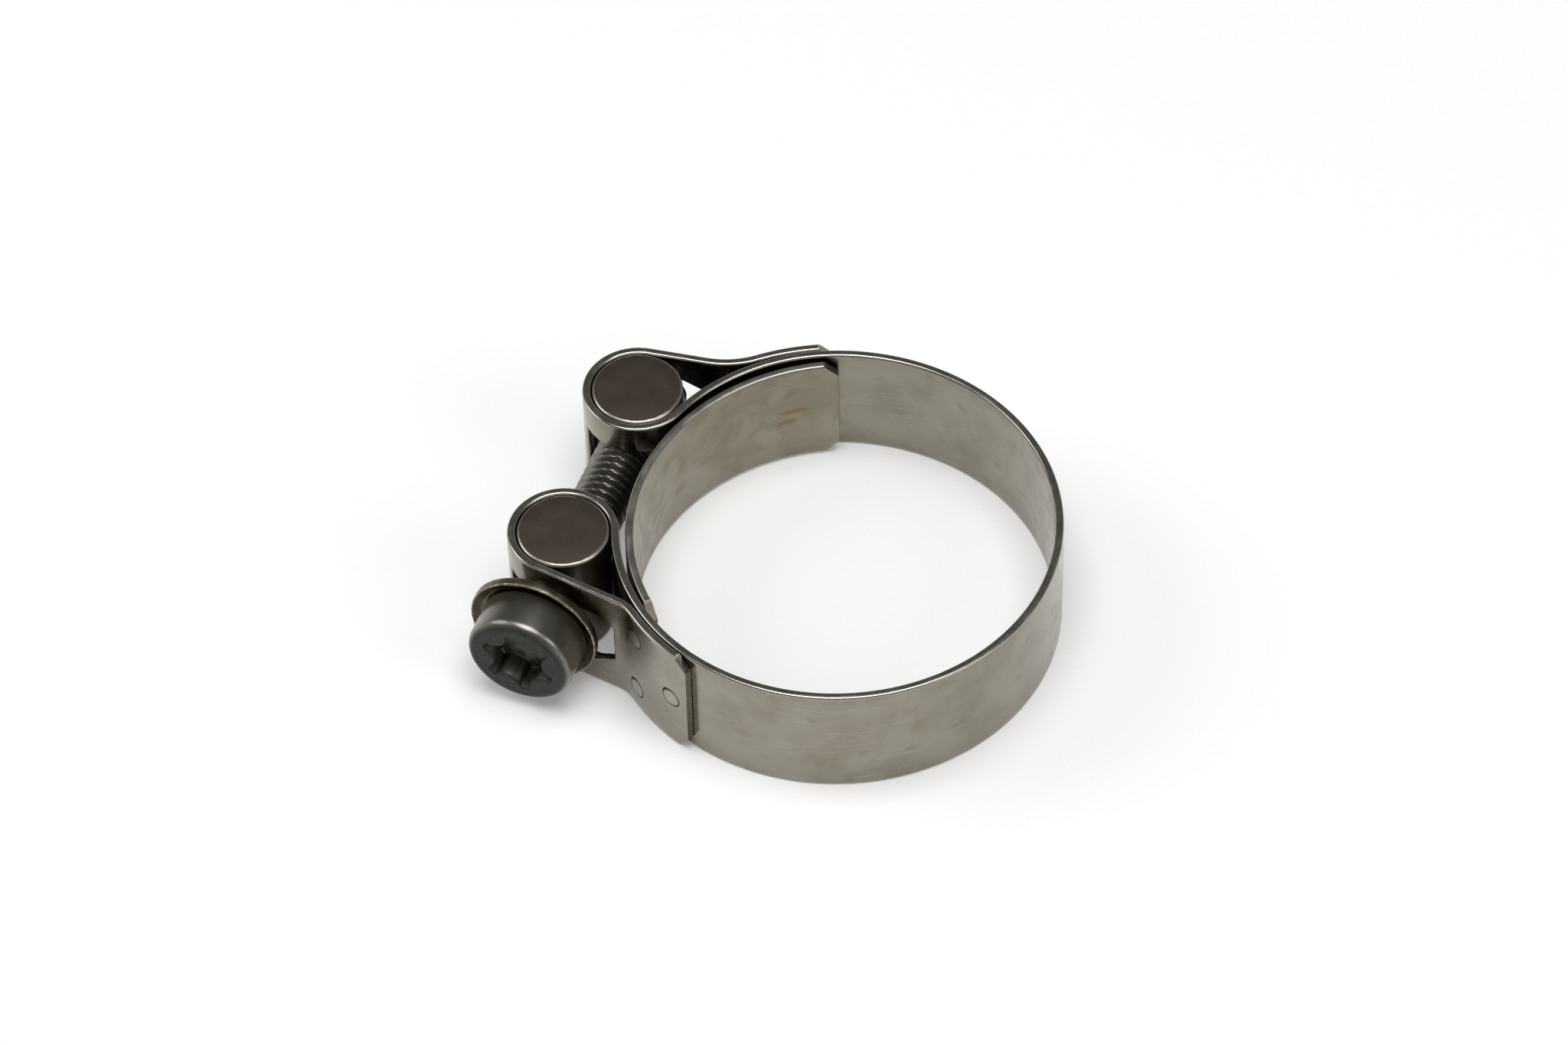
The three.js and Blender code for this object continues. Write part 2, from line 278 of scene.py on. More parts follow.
class Finish:
    """A material under way: its tree, its surface coordinates and its shader."""

    def __init__(self, name: str) -> None:
        """Makes the material.

        Args:
            name: The material's name.
        """
        self.material = bpy.data.materials.new(name)
        self.material.use_nodes = True
        self.tree = Tree(self.material.node_tree)
        self.shader = self.material.node_tree.nodes["Principled BSDF"]
        self.shader.inputs["Metallic"].default_value = 1.0

    def use(self, group: NodeTree, **values: Any) -> Socket:
        """Places an effect group with its own values, and gives its output."""
        node = self.tree.add("ShaderNodeGroup", node_tree=group)
        return self.tree.fill(node, values).outputs[0]

    def sheet_coordinates(self) -> Socket:
        """Gives the place on the flat strip: along, across and through it, in millimetres."""
        return self.tree.add("ShaderNodeAttribute", attribute_name="flat").outputs["Vector"]

    def turned_coordinates(self, centre: Point, axis: Axis) -> Socket:
        """Gives millimetres from a turned piece's centre, with Z along its axis."""
        place = self.tree.add("ShaderNodeMapping", vector_type="TEXTURE")
        source = self.tree.add("ShaderNodeTexCoord").outputs["Object"]
        self.tree.fill(place, {"Vector": source, "Location": [c * MM for c in centre],
                               "Rotation": axis.value, "Scale": (MM, MM, MM)})
        return place.outputs[0]

    def radius(self, vector: Any) -> Socket:
        """Gives the distance from the local Z axis."""
        x, y, _ = self.tree.split(vector)
        squares = [self.tree.times(c, c) for c in (x, y)]
        return self.tree.math("SQRT", self.tree.plus(*squares))

    def close(self, colour: Any, roughness: Any, height: Any, relief_mm: float) -> Metal:
        """Joins the maps to the shader.

        Args:
            colour: The base colour.
            roughness: The roughness.
            height: The height, from 0 to 1.
            relief_mm: How deep a height of 1 is.

        Returns:
            The finished material.
        """
        bump = self.tree.add("ShaderNodeBump")
        self.tree.fill(bump, {"Height": height, "Distance": relief_mm * MM, "Strength": 1.0})
        self.tree.fill(self.shader, {"Base Color": colour, "Roughness": roughness,
                                     "Normal": bump.outputs[0]})
        return self.material


@dataclass(frozen=True)
class StripSteel:
    """Satin stainless strip: rolling grain, fine scuffs, faint stains and a painted highlight along
    the rolled edges.
    """

    name: str
    tone: Colour = (0.243, 0.224, 0.180, 1)
    light_tone: Colour = (0.288, 0.268, 0.223, 1)
    stain: Colour = (0.222, 0.192, 0.138, 1)
    # Colour of the scuffs, also laid on the rolled edges as a painted highlight.
    edge: Colour = (0.50, 0.485, 0.45, 1)
    stain_low: float = 0.56
    stain_high: float = 0.80
    roughness: tuple[float, float] = (0.14, 0.26)
    half_width: float = 9.0
    line_at: float | None = -7.0
    welds: tuple[tuple[Point, Point], ...] = ()
    weld_tint: Colour = (0.215, 0.145, 0.07, 1)

    def material(self, effects: Effects) -> Metal:
        """Builds the material from the shared effects."""
        finish = Finish(self.name)
        tree, flat = finish.tree, finish.sheet_coordinates()
        _, across, _ = tree.split(flat)
        scuffs = finish.use(effects.scuffs, Vector=flat, Scale=2.6)
        grain = finish.use(effects.grain, Vector=flat, Scale=7.0, Stretch=30.0)
        patches = finish.use(effects.clouds, Vector=flat, Scale=0.13, Low=0.36, High=0.66)
        stains = finish.use(effects.clouds, Vector=flat, Scale=0.33, Low=self.stain_low,
                            High=self.stain_high)
        colour = tree.blend(patches, self.tone, self.light_tone)
        colour = tree.blend(stains, colour, self.stain)
        for place, shape in self.welds:
            spot = finish.use(effects.spot, Vector=flat, Centre=place, Shape=shape)
            colour = tree.blend(spot, colour, self.weld_tint)
        colour = tree.blend(tree.times(scuffs, 0.13), colour, self.edge)
        # Painted highlight: the rolled edges take the edge colour to stand in for their bright
        # sheen. The rim mask also flattens the bump there.
        to_edge = tree.math("ABSOLUTE", across)
        rim = tree.ramp(to_edge, self.half_width - 0.34, self.half_width - 0.14)
        colour = tree.blend(tree.times(rim, 0.6), colour, self.edge)
        wave = tree.noise(tree.vector("MULTIPLY", flat, (1.0, 0.12, 1.0)), 0.35, 1.0)
        height = tree.plus(tree.times(wave, 0.65), tree.times(grain, 0.08))
        height = tree.minus(height, tree.times(scuffs, 0.03))
        if self.line_at is not None:
            off_line = tree.math("ABSOLUTE", tree.minus(across, self.line_at))
            line = tree.minus(1.0, tree.ramp(off_line, 0.02, 0.10))
            height = tree.minus(height, tree.times(line, 0.35))
        height = tree.times(height, tree.minus(1.0, rim))
        rough = tree.span(finish.use(effects.clouds, Vector=flat, Scale=0.5, Low=0.3, High=0.7),
                          *self.roughness)
        rough = tree.plus(rough, tree.times(scuffs, 0.08))
        return finish.close(colour, rough, height, 0.035)


@dataclass(frozen=True)
class BarrelSteel:
    """Dark smooth steel, worn bright round the edge of each end."""

    name: str
    centre: Point
    radius: float
    tone: Colour = (0.130, 0.104, 0.084, 1)
    other_tone: Colour = (0.140, 0.114, 0.094, 1)
    wear: Colour = (0.50, 0.46, 0.40, 1)

    def material(self, effects: Effects) -> Metal:
        """Builds the material from the shared effects."""
        finish = Finish(self.name)
        tree, local = finish.tree, finish.turned_coordinates(self.centre, Axis.HOSE)
        patches = finish.use(effects.clouds, Vector=local, Scale=0.35, Low=0.35, High=0.7)
        scuffs = finish.use(effects.scuffs, Vector=local, Scale=2.0)
        grain = finish.use(effects.grain, Vector=local, Scale=9.0, Stretch=1.0)
        out = finish.radius(local)
        ragged = tree.plus(out, tree.times(tree.noise(local, 1.8, 4.0), 0.3))
        _, _, along = tree.split(local)
        end = tree.ramp(tree.math("ABSOLUTE", along), 8.4, 8.7)
        ring = tree.times(tree.ramp(ragged, self.radius - 0.32, self.radius - 0.02), end)
        colour = tree.blend(patches, self.tone, self.other_tone)
        colour = tree.blend(tree.times(scuffs, 0.03), colour, self.wear)
        colour = tree.blend(ring, colour, self.wear)
        rough = tree.minus(tree.span(patches, 0.40, 0.43), tree.times(ring, 0.12))
        height = tree.minus(tree.times(grain, 0.5), tree.times(scuffs, 0.15))
        return finish.close(colour, rough, height, 0.005)


@dataclass(frozen=True)
class BoltCoating:
    """Grey flake coating: sandy on the head's face, smoother on its side and the thread, with
    painted light: the side and thread lighter as if lit from above, the face darker as if in shade.
    """

    name: str
    centre: Point
    thread_radius: float
    face_at: float
    # Painted light: one coating in two copies, a lit one for the side and thread and a shaded one
    # for the face.
    painted_lit_side_tone: Colour = (0.24, 0.229, 0.205, 1)
    painted_shade_face_tone: Colour = (0.038, 0.038, 0.036, 1)
    dust: Colour = (0.10, 0.098, 0.092, 1)
    fleck: Colour = (0.34, 0.33, 0.31, 1)
    crest: Colour = (0.30, 0.29, 0.27, 1)

    def material(self, effects: Effects) -> Metal:
        """Builds the material from the shared effects."""
        finish = Finish(self.name)
        tree, local = finish.tree, finish.turned_coordinates(self.centre, Axis.BOLT)
        patches = finish.use(effects.clouds, Vector=local, Scale=0.6, Low=0.35, High=0.7)
        sand = finish.use(effects.grain, Vector=local, Scale=5.5, Stretch=1.0)
        out = finish.radius(local)
        _, _, along = tree.split(local)
        face = tree.minus(1.0, tree.ramp(along, self.face_at + 0.05, self.face_at + 0.7))
        on_crest = tree.times(tree.ramp(out, self.thread_radius - 0.14, self.thread_radius),
                             tree.math("LESS_THAN", out, self.thread_radius + 0.05))
        on_crest = tree.times(on_crest, tree.math("GREATER_THAN", along, 0.0))
        # Painted light: the face mask swaps the lit side tone for the shaded face tone.
        colour = tree.blend(face, self.painted_lit_side_tone, self.painted_shade_face_tone)
        colour = tree.blend(tree.times(patches, 0.25), colour, self.dust)
        flecks = tree.times(tree.ramp(sand, 0.56, 0.74), tree.span(face, 0.06, 0.24))
        colour = tree.blend(flecks, colour, self.fleck)
        colour = tree.blend(tree.times(on_crest, 0.8), colour, self.crest)
        rough = tree.plus(tree.span(face, 0.30, 0.54), tree.times(patches, 0.05))
        height = tree.times(sand, tree.span(face, 0.35, 0.8))
        return finish.close(colour, rough, height, 0.03)


@dataclass(frozen=True)
class WasherPlating:
    """Yellow-brown passivated plating with a nicked bright rim."""

    name: str
    centre: Point
    radius: float
    tone: Colour = (0.115, 0.093, 0.055, 1)
    other_tone: Colour = (0.165, 0.148, 0.105, 1)
    wear: Colour = (0.50, 0.44, 0.33, 1)

    def material(self, effects: Effects) -> Metal:
        """Builds the material from the shared effects."""
        finish = Finish(self.name)
        tree, local = finish.tree, finish.turned_coordinates(self.centre, Axis.BOLT)
        patches = finish.use(effects.clouds, Vector=local, Scale=0.45, Low=0.35, High=0.68)
        nicks = finish.use(effects.clouds, Vector=local, Scale=1.6, Low=0.52, High=0.66)
        grain = finish.use(effects.grain, Vector=local, Scale=6.0, Stretch=1.0)
        _, _, along = tree.split(local)
        front = tree.minus(1.0, tree.ramp(along, -0.78, -0.5))
        rim = tree.ramp(finish.radius(local), self.radius - 0.42, self.radius - 0.2)
        rim = tree.times(rim, front)
        worn = tree.times(rim, tree.span(nicks, 0.25, 1.0))
        colour = tree.blend(patches, self.tone, self.other_tone)
        colour = tree.blend(worn, colour, self.wear)
        rough = tree.minus(tree.span(patches, 0.34, 0.46), tree.times(worn, 0.1))
        height = tree.minus(tree.times(grain, 0.4), tree.times(tree.times(nicks, rim), 0.6))
        return finish.close(colour, rough, height, 0.025)


@dataclass(frozen=True)
class RivetSteel:
    """The flush end of a rivet, a shade duller than the strip, dark in its seam."""

    name: str
    tone: Colour = (0.30, 0.285, 0.25, 1)
    other_tone: Colour = (0.37, 0.35, 0.31, 1)
    seam: Colour = (0.06, 0.045, 0.027, 1)
    radius: float = 1.5

    def material(self, effects: Effects) -> Metal:
        """Builds the material from the shared effects."""
        finish = Finish(self.name)
        tree, flat = finish.tree, finish.sheet_coordinates()
        patches = finish.use(effects.clouds, Vector=flat, Scale=0.9, Low=0.35, High=0.65)
        scuffs = finish.use(effects.scuffs, Vector=flat, Scale=3.0)
        out = finish.radius(flat)
        colour = tree.blend(patches, self.tone, self.other_tone)
        seam = tree.ramp(out, self.radius - 0.32, self.radius - 0.18)
        colour = tree.blend(seam, colour, self.seam)
        rough = tree.span(patches, 0.28, 0.40)
        return finish.close(colour, rough, tree.minus(1.0, scuffs), 0.004)


# Meshes ---


def polar(radius: float, degrees: float, centre: Sequence[float] = (0.0, 0.0)) -> np.ndarray:
    """Gives a point at an angle on a circle."""
    angle = math.radians(degrees)
    return np.array(centre, float) + radius * np.array([math.cos(angle), math.sin(angle)])


def link(name: str, data: Any) -> Piece:
    """Puts a new object for some data into the scene."""
    made = bpy.data.objects.new(name, data)
    bpy.context.scene.collection.objects.link(made)
    return made


def baked(name: str, source: Piece, *helpers: Piece) -> Piece:
    """Turns an object with modifiers into a plain mesh.

    Args:
        name: The new object's name.
        source: The object to take the shape of. It is removed.
        *helpers: Other objects that it needed. They are removed too.

    Returns:
        The plain object.
    """
    bpy.context.view_layer.update()
    graph = bpy.context.evaluated_depsgraph_get()
    mesh = bpy.data.meshes.new_from_object(source.evaluated_get(graph), depsgraph=graph)
    for used in (source, *helpers):
        bpy.data.objects.remove(used)
    mesh.name = name
    return link(name, mesh)


@contextmanager
def editing(mesh: bpy.types.Mesh) -> Iterator[bmesh.types.BMesh]:
    """Opens a mesh for editing, then writes it back with its faces outward."""
    built = bmesh.new()
    built.from_mesh(mesh)
    yield built
    bmesh.ops.recalc_face_normals(built, faces=built.faces)
    built.to_mesh(mesh)
    built.free()


def face_outward(mesh: bpy.types.Mesh) -> None:
    """Turns every face of a mesh outward."""
    with editing(mesh):
        pass


def drive(piece: Piece, tree: NodeTree, values: dict[str, Any]) -> None:
    """Puts a Geometry Nodes tree on a piece and sets its inputs by name."""
    modifier = piece.modifiers.new("nodes", "NODES")
    modifier.node_group = tree
    for item in tree.interface.items_tree:
        if item.in_out == "INPUT" and item.name in values:
            modifier[item.identifier] = values[item.name]


def smooth(piece: Piece, sharp_deg: float = 38.0) -> None:
    """Shades a piece smooth between its sharp edges."""
    for polygon in piece.data.polygons:
        polygon.use_smooth = True
    piece.data.set_sharp_from_angle(angle=math.radians(sharp_deg))


def dressed(piece: Piece, metal: Metal, sharp_deg: float = 38.0) -> Piece:
    """Brings a piece to metres, gives it its metal, shades it and gives it back."""
    piece.data.transform(Matrix.Scale(MM, 4))
    piece.data.materials.clear()
    piece.data.materials.append(metal)
    smooth(piece, sharp_deg)
    return piece


def carve(name: str, piece: Piece, cutter: Piece) -> Piece:
    """Cuts one mesh out of another."""
    cut = piece.modifiers.new("cut", "BOOLEAN")
    cut.operation, cut.solver, cut.object = "DIFFERENCE", "EXACT", cutter
    return baked(name, piece, cutter)


def rod(name: str, radius: float, length: float, place: Matrix, sides: int) -> Piece:
    """Makes a solid rod along its own Z axis, put where a matrix says."""
    built = bmesh.new()
    bmesh.ops.create_cone(built, cap_ends=True, segments=sides, radius1=radius, radius2=radius,
                          depth=length, matrix=place)
    mesh = bpy.data.meshes.new(name)
    built.to_mesh(mesh)
    built.free()
    return link(name, mesh)


def turned_matrix(centre: Point, axis: Axis) -> Matrix:
    """Places a turned piece: its local Z along the axis."""
    return Matrix.Translation(centre) @ Euler(axis.value).to_matrix().to_4x4()


def turned(name: str, rings: Sequence[tuple[Any, float]], angles: np.ndarray,
           place: Matrix) -> Piece:
    """Makes a closed turned body from rings, whose radius may differ round the ring.

    Args:
        name: The object's name.
        rings: Each ring's radius, one number or one for each angle, and its height.
        angles: The angles of the columns, in radians.
        place: Where the piece goes.

    Returns:
        The object, in millimetres. Rings of radius 0 close the ends.
    """
    verts: list[tuple[float, float, float]] = []
    rows: list[list[int]] = []
    count = len(angles)
    for radius, height in rings:
        if np.isscalar(radius) and radius == 0:
            rows.append([len(verts)] * count)
            verts.append((0.0, 0.0, height))
            continue
        spread = np.broadcast_to(np.asarray(radius, float), (count,))
        rows.append(list(range(len(verts), len(verts) + count)))
        verts += [(r * math.cos(a), r * math.sin(a), height) for r, a in zip(spread, angles)]
    closed = rings[0][0] is rings[-1][0] and rows[0][0] != rows[0][-1]
    pairs = list(zip(rows, rows[1:])) + ([(rows[-1], rows[0])] if closed else [])
    faces = []
    for low, high in pairs:
        for i in range(count):
            j = (i + 1) % count
            face = list(dict.fromkeys((low[i], low[j], high[j], high[i])))
            if len(face) > 2:
                faces.append(face)
    mesh = bpy.data.meshes.new(name)
    mesh.from_pydata(verts, [], faces)
    mesh.transform(place)
    face_outward(mesh)
    return link(name, mesh)


def rounding(radius: float, height: float, corner: float, start_deg: float,
             steps: int = 6) -> list[Flat]:
    """Gives the quarter round at the corner of a turned profile."""
    turns = [math.radians(start_deg + 90 * i / steps) for i in range(steps + 1)]
    return [(radius + corner * math.cos(a), height + corner * math.sin(a)) for a in turns]


# Strip pieces ---


class StripPath:
    """A strip's middle line in plan view: arcs joined by straight runs."""

    FINE = 0.05

    def __init__(self) -> None:
        """Starts an empty path."""
        self.points: list[np.ndarray] = []
        self.length = 0.0
        self.folds: list[float] = []

    def arc(self, centre: Sequence[float], radius: float, start_deg: float, end_deg: float,
            fold_deg: float) -> float:
        """Adds an arc, after a straight run to its start where there is a gap.

        Args:
            centre: The arc's centre.
            radius: Its radius.
            start_deg: The angle it starts at.
            end_deg: The angle it ends at, below start_deg for a clockwise arc.
            fold_deg: The angle between two folds of the mesh.

        Returns:
            The length along the path at which the arc starts.
        """
        first = polar(radius, start_deg, centre)
        if self.points and np.linalg.norm(first - self.points[-1]) > 1e-4:
            self.length += float(np.linalg.norm(first - self.points[-1]))
            self.points.append(first)
        elif not self.points:
            self.points.append(first)
        began, run = self.length, math.radians(abs(end_deg - start_deg)) * radius
        count = max(2, math.ceil(run / self.FINE))
        self.points += [polar(radius, start_deg + (end_deg - start_deg) * i / count, centre)
                        for i in range(1, count + 1)]
        folds = max(1, round(abs(end_deg - start_deg) / fold_deg))
        self.folds += [began + run * i / folds for i in range(folds + 1)]
        self.length += run
        return began

    def curve(self, name: str, side: Side) -> Piece:
        """Makes the path a curve object at the strip's middle height."""
        data = bpy.data.curves.new(name, "CURVE")
        data.dimensions = "3D"
        line = data.splines.new("POLY")
        line.points.add(len(self.points) - 1)
        places = np.array([(x, -side.value * y, STRIP_MIDDLE, 1.0) for x, y in self.points])
        line.points.foreach_set("co", places.ravel())
        return link(name, data)


class StripRoller:
    """Rolls flat blanks into strips with Geometry Nodes."""

    def __init__(self) -> None:
        """Builds the node tree once."""
        sockets = {"Blank": "Geometry", "Path": "Object"}
        nodes, given, rolled_up = new_group("roll strip", "Geometry", sockets,
                                            ("Strip", "Geometry"))
        place = nodes.add("GeometryNodeInputPosition").outputs[0]
        keep = nodes.add("GeometryNodeStoreNamedAttribute", data_type="FLOAT_VECTOR",
                         domain="POINT")
        nodes.fill(keep, {"Geometry": given["Blank"], "Name": "flat", "Value": place})
        path = nodes.fill(nodes.add("GeometryNodeObjectInfo"), {"Object": given["Path"]})
        along, across, through = nodes.split(place)
        sample = nodes.add("GeometryNodeSampleCurve", mode="LENGTH", use_all_curves=True)
        nodes.fill(sample, {"Curves": path.outputs["Geometry"], "Length": along})
        up = (0.0, 0.0, 1.0)
        out = nodes.vector("CROSS_PRODUCT", sample.outputs["Tangent"], up)
        out = nodes.vector("NORMALIZE", out)
        lift = nodes.add("ShaderNodeCombineXYZ")
        nodes.put(lift.inputs[2], across)
        aside = nodes.fill(nodes.add("ShaderNodeVectorMath", operation="SCALE"),
                           {"Vector": out, "Scale": through})
        rolled = nodes.vector("ADD", sample.outputs["Position"], aside.outputs[0])
        rolled = nodes.vector("ADD", rolled, lift.outputs[0])
        move = nodes.fill(nodes.add("GeometryNodeSetPosition"),
                          {"Geometry": keep.outputs[0], "Position": rolled})
        nodes.put(rolled_up, move.outputs[0])
        self.tree = nodes.tree

    def roll(self, name: str, blank: Piece, path: Piece,
             metal: Metal) -> Piece:
        """Rolls a blank along a path.

        Args:
            name: The new piece's name.
            blank: The flat strip, in millimetres: X along it, Y across it. It is removed.
            path: The curve to follow. It is removed.
            metal: The strip's material.

        Returns:
            The rolled strip, in metres.
        """
        drive(blank, self.tree, {"Path": path})
        return dressed(baked(name, blank, path), metal)


@dataclass
class Blank:
    """A flat strip before it is rolled: its outline, its windows and its rivet holes."""

    END_FOLD: ClassVar[float] = 0.02
    FOLD_GAP: ClassVar[float] = 0.01
    SPARE: ClassVar[float] = 2.0
    path: StripPath
    width: float
    thickness: float = 1.1
    edge_round: float = 0.3
    start_corner: float = 0.0
    end_corner: float = 0.0
    windows: list[list[Flat]] = field(default_factory=list)
    holes: list[Flat] = field(default_factory=list)
    hole_radius: float = 1.56

    def _outline(self) -> list[Flat]:
        """The plate's edge, longer at both ends than the strip."""
        half, low, high = self.width / 2, -self.SPARE, self.path.length + self.SPARE
        return [(low, -half), (high, -half), (high, half), (low, half)]

    def _shears(self) -> list[tuple[Point, Point]]:
        """The planes that trim the ends and corners: a point and the outward way of each."""
        half, planes = self.width / 2, []
        ends = ((0.0, -1, self.start_corner), (self.path.length, 1, self.end_corner))
        for x, way, corner in ends:
            planes.append(((x, 0.0, 0.0), (way, 0.0, 0.0)))
            if corner:
                planes += [((x - way * corner, side * half, 0.0), (way, side, 0.0))
                           for side in (-1, 1)]
        return planes

    def _plate(self) -> Piece:
        """The plate with rounded edges and windows, from a filled flat curve."""
        data = bpy.data.curves.new("plate", "CURVE")
        data.dimensions, data.fill_mode = "2D", "BOTH"
        data.extrude = self.thickness / 2 - self.edge_round
        data.bevel_depth = self.edge_round
        data.offset, data.bevel_resolution = -self.edge_round, 3
        for loop in [self._outline(), *self.windows]:
            line = data.splines.new("POLY")
            line.use_cyclic_u = True
            line.points.add(len(loop) - 1)
            line.points.foreach_set("co", np.array([(x, y, 0, 1) for x, y in loop]).ravel())
        plate = baked("plate", link("plate", data))
        with editing(plate.data) as built:
            bmesh.ops.remove_doubles(built, verts=built.verts, dist=1e-3)
        return plate

    @staticmethod
    def _bisect(built: bmesh.types.BMesh, place: Point, way: Point,
                **options: bool) -> dict[str, Any]:
        """Cuts every face along a plane, and gives what Blender says of the cut."""
        whole = [*built.verts, *built.edges, *built.faces]
        return bmesh.ops.bisect_plane(built, geom=whole, dist=1e-5, plane_co=place,
                                      plane_no=way, **options)

    def build(self) -> Piece:
        """Cuts the holes and folds the plate into narrow facets across the strip."""
        plate = self._plate()
        for x, y in self.holes:
            place = Matrix.Translation((x, y, 0))
            drill = rod("drill", self.hole_radius, 3 * self.thickness, place, 40)
            plate = carve("plate", plate, drill)
        end = self.path.length - self.END_FOLD
        first, last = self.END_FOLD + self.FOLD_GAP, end - self.FOLD_GAP
        inside = {round(f, 4) for f in self.path.folds if first < f < last}
        with editing(plate.data) as built:
            for place, way in self._shears():
                cut = self._bisect(built, place, way, clear_outer=True)
                rim = [e for e in cut["geom_cut"] if isinstance(e, bmesh.types.BMEdge)]
                bmesh.ops.edgenet_fill(built, edges=rim)
            for mark in [self.END_FOLD, *sorted(inside), end]:
                self._bisect(built, (mark, 0, 0), (1, 0, 0))
            bmesh.ops.triangulate(built, faces=[f for f in built.faces if len(f.verts) > 4])
        return plate


@dataclass
class Band:
    """The band: one strip whose two ends loop round the barrels and lie back on it, riveted."""

    thickness: float = 1.1
    width: float = 18.0
    outer_radius: float = 30.0
    layer_gap: float = 0.1
    barrel_x: float = -33.2
    barrel_radius: float = 6.15
    loop_clearance: float = 0.15
    leave_deg: float = 112.0
    leg_tilt_deg: float = 8.0
    end_corner: float = 2.0
    window_height: float = 8.8
    window_out: float = 5.0
    window_in: float = 4.6
    leg_window_inset: float = 0.6
    leg_window_end: float = 6.2
    leg_window_taper: float = 2.6
    rivet_radius: float = 1.5
    rivet_lean_deg: float = 3.0
    rivet_places: tuple[Flat, ...] = ((18.8, 5.1), (18.8, -5.1), (5.2, 0.0))
    barrel_y: dict[Side, float] = field(default_factory=lambda: {Side.FRONT: 14.0, Side.REAR: 12.4})
    knee_radius: dict[Side, float] = field(
        default_factory=lambda: {Side.FRONT: 5.0, Side.REAR: 12.0})
    end_deg: dict[Side, float] = field(
        default_factory=lambda: {Side.FRONT: 108.2, Side.REAR: 111.6})

    @property
    def middle_radius(self) -> float:
        """The radius of the band's middle line."""
        return self.outer_radius - self.thickness / 2

    @property
    def outer_layer_radius(self) -> float:
        """The radius of the folded end's middle line."""
        return self.middle_radius + self.thickness + self.layer_gap

    def _path(self, side: Side) -> tuple[StripPath, list[list[Flat]]]:
        """Draws one half of the band, as for the front side, from the back of the ring.

        Args:
            side: Which half.

        Returns:
            The path and the windows for the bolt, on the flat strip.
        """
        loop_r = self.barrel_radius + self.loop_clearance + self.thickness / 2
        barrel = np.array([self.barrel_x, -self.barrel_y[side]])
        normal, along = polar(1, -90 - self.leg_tilt_deg), polar(1, -self.leg_tilt_deg)
        leave, mid, knee_r = polar(1, -self.leave_deg), self.middle_radius, self.knee_radius[side]
        shift = (barrel @ barrel - (mid + loop_r) ** 2) / (2 * (barrel @ leave - mid - loop_r))
        turn_in = leave * shift
        touch = math.degrees(math.atan2(*(barrel - turn_in)[::-1]))
        leg_at = barrel @ normal + loop_r
        outer = self.outer_layer_radius
        back = math.sqrt((outer + knee_r) ** 2 - (leg_at + knee_r) ** 2)
        knee = normal * (leg_at + knee_r) - along * back
        knee_deg = math.degrees(math.atan2(knee[1], knee[0]))

        path = StripPath()
        path.arc((0, 0), mid, 0, -self.leave_deg, 1.6)
        path.arc(turn_in, mid - shift, -self.leave_deg, touch, 1.6)
        loop_start = touch + 180
        began = path.arc(barrel, loop_r, loop_start, 270 - self.leg_tilt_deg, 4.0)
        leg_began, leg_x = path.length, path.points[-1][0]
        path.arc(knee, knee_r, 90 - self.leg_tilt_deg, knee_deg + 180, 60 / knee_r)
        path.arc((0, 0), outer, knee_deg, -self.end_deg[side], 1.6)

        def on_loop(offset: float, sign: int) -> float:
            """Length at which the loop is at an offset along X from the barrel's middle."""
            angle = sign * math.degrees(math.acos(offset / loop_r)) % 360
            return began + math.radians(angle - loop_start) * loop_r

        half, end_half = self.window_height / 2, self.leg_window_end / 2
        first, last = on_loop(self.window_in, 1), on_loop(-self.window_out, 1)
        knee_x = knee[0] - knee_r * normal[0]
        start = on_loop(-self.window_out, -1)
        stop = leg_began + (knee_x - self.leg_window_inset - leg_x) / along[0]
        taper = stop - self.leg_window_taper
        windows = [
            [(first, -half), (last, -half), (last, half), (first, half)],
            [(start, -half), (taper, -half), (stop, -end_half), (stop, end_half), (taper, half),
             (start, half)],
        ]
        return path, windows

    def _holes(self, path: StripPath, side: Side) -> list[Flat]:
        """Places the rivet holes of both layers on the flat strip."""
        holes = []
        steps = np.linalg.norm(np.diff(path.points, axis=0), axis=1)
        lengths = np.concatenate([[0.0], np.cumsum(steps)])
        turn = np.degrees(np.unwrap([math.atan2(y, x) for x, y in path.points]))
        for before, across in self.rivet_places:
            angle = -self.end_deg[side] - before
            inner = lengths[int(np.argmax(turn < angle))]
            outer = path.length - math.radians(before) * self.outer_layer_radius
            holes += [(float(inner), across), (float(outer), across)]
        return holes

    def half(self, side: Side, roller: StripRoller, metal: Metal) -> Piece:
        """Builds one half of the band."""
        path, windows = self._path(side)
        blank = Blank(path, self.width, end_corner=self.end_corner, windows=windows,
                      holes=self._holes(path, side))
        name = f"{side.name.lower()}_band"
        return roller.roll(name, blank.build(), path.curve("path", side), metal)

    def rivets(self, side: Side, riveter: "Riveter", metal: Metal) -> Piece:
        """Sets the three rivets of one folded end."""
        inner = self.middle_radius - self.thickness / 2 + 0.03
        outer = self.outer_layer_radius + self.thickness / 2 + 0.04
        places = []
        for before, across in self.rivet_places:
            angle = side.value * (self.end_deg[side] + before)
            spot = polar((inner + outer) / 2, angle)
            places.append(((spot[0], spot[1], self.width / 2 + across), angle))
        return riveter.set(f"{side.name.lower()}_rivets", places, outer - inner, metal)


